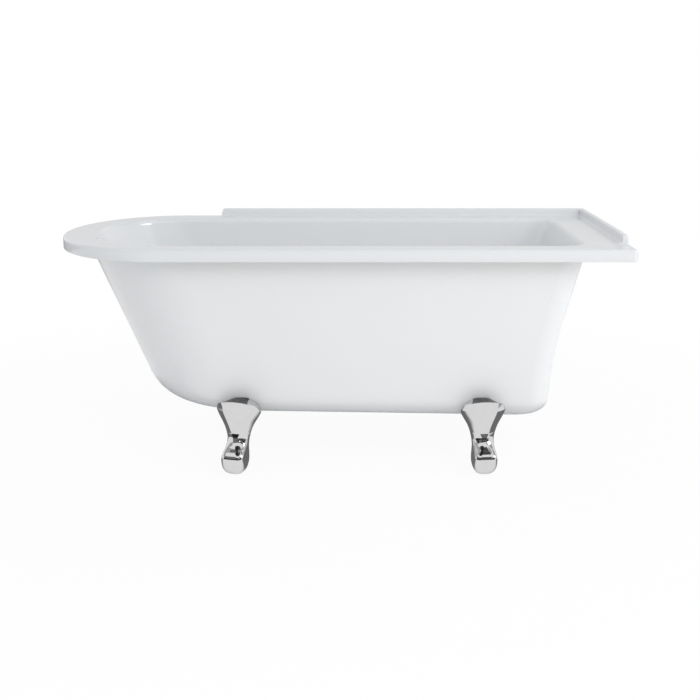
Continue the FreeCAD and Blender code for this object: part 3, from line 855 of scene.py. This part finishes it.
def cable_finish():
    made = Finish("cable_sheath")
    fine = made.noise(300.0, 3)
    colour = made.blend(fine, (0.020, 0.020, 0.022), (0.036, 0.036, 0.038))
    made.set(Base_Color=colour, Roughness=0.40 + fine * 0.15, Normal=made.bump(fine, 0.0001, 0.4))
    return made.material


# %% [markdown]
# ## Dressing the solids
# Each solid takes the finish of what the real piece is made of. Its shape isn't touched: only its
# material slots are filled, and its edges are shaded smooth below a limit of angle.

# %% Every finish by name
FINISHES = {
    "acrylic": acrylic_finish(),
    "skin": skin_finish(),
    "foot_chrome": chrome_finish("foot_chrome", True),
    "fitting_chrome": chrome_finish("fitting_chrome", False),
    "zinc_steel": zinc_finish(),
    "brass": brass_finish(),
    "chipboard": chipboard_finish(),
    "pine_along_bath": pine_finish("pine_along_bath"),
    "rubber": rubber_finish(),
    "waste_plastic": pipe_finish(),
    "cable_black": cable_finish(),
}


def wear(piece, finish):
    """Gives a piece one material, in place of those it has."""
    piece.data.materials.clear()
    piece.data.materials.append(FINISHES[finish])


slots = {name: node.data.materials[0].name.split(".")[0] for name, node in nodes.items()}
print(slots)

# %% [markdown]
# ## Floor and sky
# The floor and the backdrop are plain white. What the camera sees of them glows at a strength near
# 1, but the light that falls on the bath comes from a softer sky and two large lamps, so the white
# acrylic keeps its shades. Light Path tells the rays apart. The floor also shows part of its real
# shading, which holds the shadow under the bath and fades out further away.

# %% Kinds of rays
def ray_kinds(network):
    """Two masks: for rays from the camera or through glass, and for mirrored rays."""
    path = network.node("LightPath", {}).socket.node
    camera, glass, mirrored = (Field(network, path.outputs[f"Is {kind} Ray"])
                               for kind in ("Camera", "Transmission", "Glossy"))
    return camera + glass, mirrored


# %% Floor
FLOOR_SIZE = 16
FLOOR_PAINT = (0.9, 0.9, 0.9)
WHITE = (1.0, 1.0, 1.0)
# Painted shadow: in mirrored rays only, the floor under the bath, and less the floor far behind, take
# this colour.
FLOOR_DARK = (0.16, 0.16, 0.165)  # where the floor is dark in the chrome
FLOOR_GLOW = 0.93  # share of glow in what the camera sees, the rest is real shading
FLOOR_MIRRORED = 0.93
SHADOW_FADE = (0.9, 2.2)  # from the middle, the real shading fades out here
SHADOW_POOL_X = (0.82, 0.70)  # edges of the painted shadow under the bath, for mirrored rays only
SHADOW_POOL_Y = (0.34, 0.29)
DARK_BEHIND = (1.2, 1.8)
DARK_BEHIND_SHARE = 0.8


def add_floor():
    bpy.ops.mesh.primitive_plane_add(size=FLOOR_SIZE, location=(0, 0, 0))
    floor = bpy.context.object
    floor.name = "floor"
    made = bpy.data.materials.new("pale_floor")
    made.use_nodes = True
    made.node_tree.nodes.clear()
    network = Network(made.node_tree)
    seen, mirrored = ray_kinds(network)
    place = network.node("TexCoord", {}, output="Object")
    x, y, _ = network.split(place)
    behind = network.spread(y, *DARK_BEHIND)
    far = network.spread(network.node("VectorMath", {"operation": "LENGTH"}, place, output="Value"),
                         *SHADOW_FADE)
    # Painted shadow under the bath, seen only in mirrored rays, and a darker floor far behind.
    painted_shadow_pool = network.spread(abs(x), *SHADOW_POOL_X) * network.spread(abs(y), *SHADOW_POOL_Y)
    dark = painted_shadow_pool.most(behind * DARK_BEHIND_SHARE) * mirrored
    lit = network.node("BsdfDiffuse", {}, FLOOR_PAINT)
    glow = network.node("Emission", {}, network.blend(dark, WHITE, FLOOR_DARK), 1.0)
    share = seen * (FLOOR_GLOW + far * (1 - FLOOR_GLOW)) + mirrored * FLOOR_MIRRORED
    network.node("OutputMaterial", {}, network.node("MixShader", {}, share, lit, glow))
    floor.data.materials.append(made)


add_floor()
print("floor:", FLOOR_SIZE, "m across")

# %% [markdown]
# ## What the chrome mirrors
# Chrome has no colour of its own: it shows the room. In an all-white room it would look like white
# paint, so studios hang dark flags round it. Here the sky has them, for mirrored rays only: a dark
# band low in front, another over the bath, and a softer one behind. The wall straight behind is a
# little grey, which keeps the flat rim from shining white at its low angle. Three small window panes
# in front and to the right put the bright streak on the acrylic's bend. For mirrored rays only, the
# floor below the bath has a painted shadow, as dark as where a bath stands close over it, and the
# floor far behind is painted darker too.

# %% Sky
SKY_COLOUR = (0.955, 0.975, 1.0)
SKY_LEVEL = 0.73
FLAG_DARK = (0.02, 0.02, 0.022)
FLAG_PALE = (0.20, 0.20, 0.205)
FLAG_GRAIN = (0.45, 0.62)  # a noise blends from dark to pale between these
FRONT = (-0.10, -0.30)  # how far forwards a direction points, from not yet to fully in front
LOW_FLAG = (0.015, 0.03, 0.70, 0.74)  # rise of a direction: its band's low, full, still full and high
BEHIND_FLAG = (0.46, 0.50, 0.72, 0.76)
BEHIND_GREY = 0.6
OVERHEAD = (0.900, 0.915)
WALL_AHEAD = (0.90, 0.95)
WALL_TOP = (0.40, 0.32)
WALL_GREY = 0.27
PANES = [  # sideways from, to; ahead from, to; rise from, to
    (0.74, 0.90, -0.24, 0.06, 0.475, 0.66),
    (0.68, 0.80, -0.42, -0.28, 0.480, 0.66),
    (0.34, 0.46, -0.80, -0.68, 0.510, 0.64),
]
PANE_LIGHT = 22.0
PANE_SOFT = 0.02


def flags_of(network, ahead, rise):
    """How dark each direction is."""
    front = network.spread(ahead, *FRONT)
    low = network.band(rise, *LOW_FLAG) * front
    behind = network.band(rise, *BEHIND_FLAG) * (1 - front)
    wall = network.spread(ahead, *WALL_AHEAD) * network.spread(rise, *WALL_TOP)
    overhead = network.spread(rise, *OVERHEAD)
    return low.most(behind * BEHIND_GREY).most(overhead).most(wall * WALL_GREY)


def pane_of(network, across, ahead, rise, pane):
    left, right, near, far, low_edge, high_edge = pane
    beside = network.band(across, left, left + PANE_SOFT, right - PANE_SOFT, right)
    before = network.band(ahead, near, near + PANE_SOFT, far - PANE_SOFT, far)
    return beside * before * (rise > low_edge) * (rise < high_edge)


def add_sky():
    world = bpy.data.worlds.new("studio")
    bpy.context.scene.world = world
    world.use_nodes = True
    world.node_tree.nodes.clear()
    network = Network(world.node_tree)
    seen, mirrored = ray_kinds(network)
    direction = network.node("TexCoord", {}, output="Generated")
    across, ahead, rise = network.split(direction)
    flags = flags_of(network, ahead, rise)
    first, second, third = (pane_of(network, across, ahead, rise, pane) for pane in PANES)
    brightness = 1.0 + first.most(second).most(third) * PANE_LIGHT
    grain = network.node("TexNoise", {}, Vector=direction, Scale=3.0)
    dark = network.blend(network.spread(grain, *FLAG_GRAIN), FLAG_DARK, FLAG_PALE)
    sky = network.node("Background", {}, SKY_COLOUR, SKY_LEVEL)
    white = network.node("Background", {}, WHITE, 1.0)
    room = network.node("Background", {}, network.blend(flags, WHITE, dark), brightness)
    unmirrored = network.node("MixShader", {}, seen, sky, white)
    network.node("OutputWorld", {}, network.node("MixShader", {}, mirrored, unmirrored, room))


add_sky()
print("sky:", len(PANES), "panes and", SKY_LEVEL, "of full light")

# %% [markdown]
# ## Lamps
# A wide lamp in front and to the right is the key, and a weaker one stands off the square end. Small
# lamps would draw hard shadows and bright dots on the gloss. These two are as large as windows, and
# mirrored rays don't see them, because the sky already has what the chrome mirrors.

# %% Lamps
LAMPS = [  # name, place, point it faces, width, height, watts
    ("key", (1.5, -2.9, 2.1), (0.0, 0.0, 0.35), 2.2, 1.4, 29),
    ("side", (3.0, -0.5, 1.3), (-0.4, 0.0, 0.5), 1.4, 1.4, 12),
]


def add_softbox(name, place, aim, width, height, watts):
    """A large soft lamp that mirrored rays don't see."""
    data = bpy.data.lights.new(name, "AREA")
    data.shape = "RECTANGLE"
    data.size = width
    data.size_y = height
    data.energy = watts
    lamp = bpy.data.objects.new(name, data)
    lamp.location = place
    lamp.rotation_euler = (Vector(aim) - Vector(place)).to_track_quat("-Z", "Y").to_euler()
    lamp.visible_glossy = False
    bpy.context.collection.objects.link(lamp)


for lamp in LAMPS:
    add_softbox(*lamp)
bpy.context.scene.view_settings.view_transform = "Standard"
print("lamps:", [name for name, *_ in LAMPS])

# %% [markdown]
# ## Every piece gets its finish
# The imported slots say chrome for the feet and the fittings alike, so the name of a node decides
# which chrome it wears.

# %% Finish every node
SOLID_SMOOTH = math.radians(32)


def finish_of(name):
    if name == "outer_skin":
        return "skin"
    if slots[name] == "chrome":
        return "foot_chrome" if name.endswith("_foot") else "fitting_chrome"
    if slots[name] == "pine":
        return "pine_along_bath"
    return slots[name]


for name, node in nodes.items():
    wear(node, finish_of(name))
    only(node)
    bpy.ops.object.shade_smooth_by_angle(angle=SOLID_SMOOTH)

for name, finish in NEW_PIECES.items():
    wear(bpy.data.objects[name], finish)
print("dressed:", len(nodes), "nodes and", len(NEW_PIECES), "new pieces")
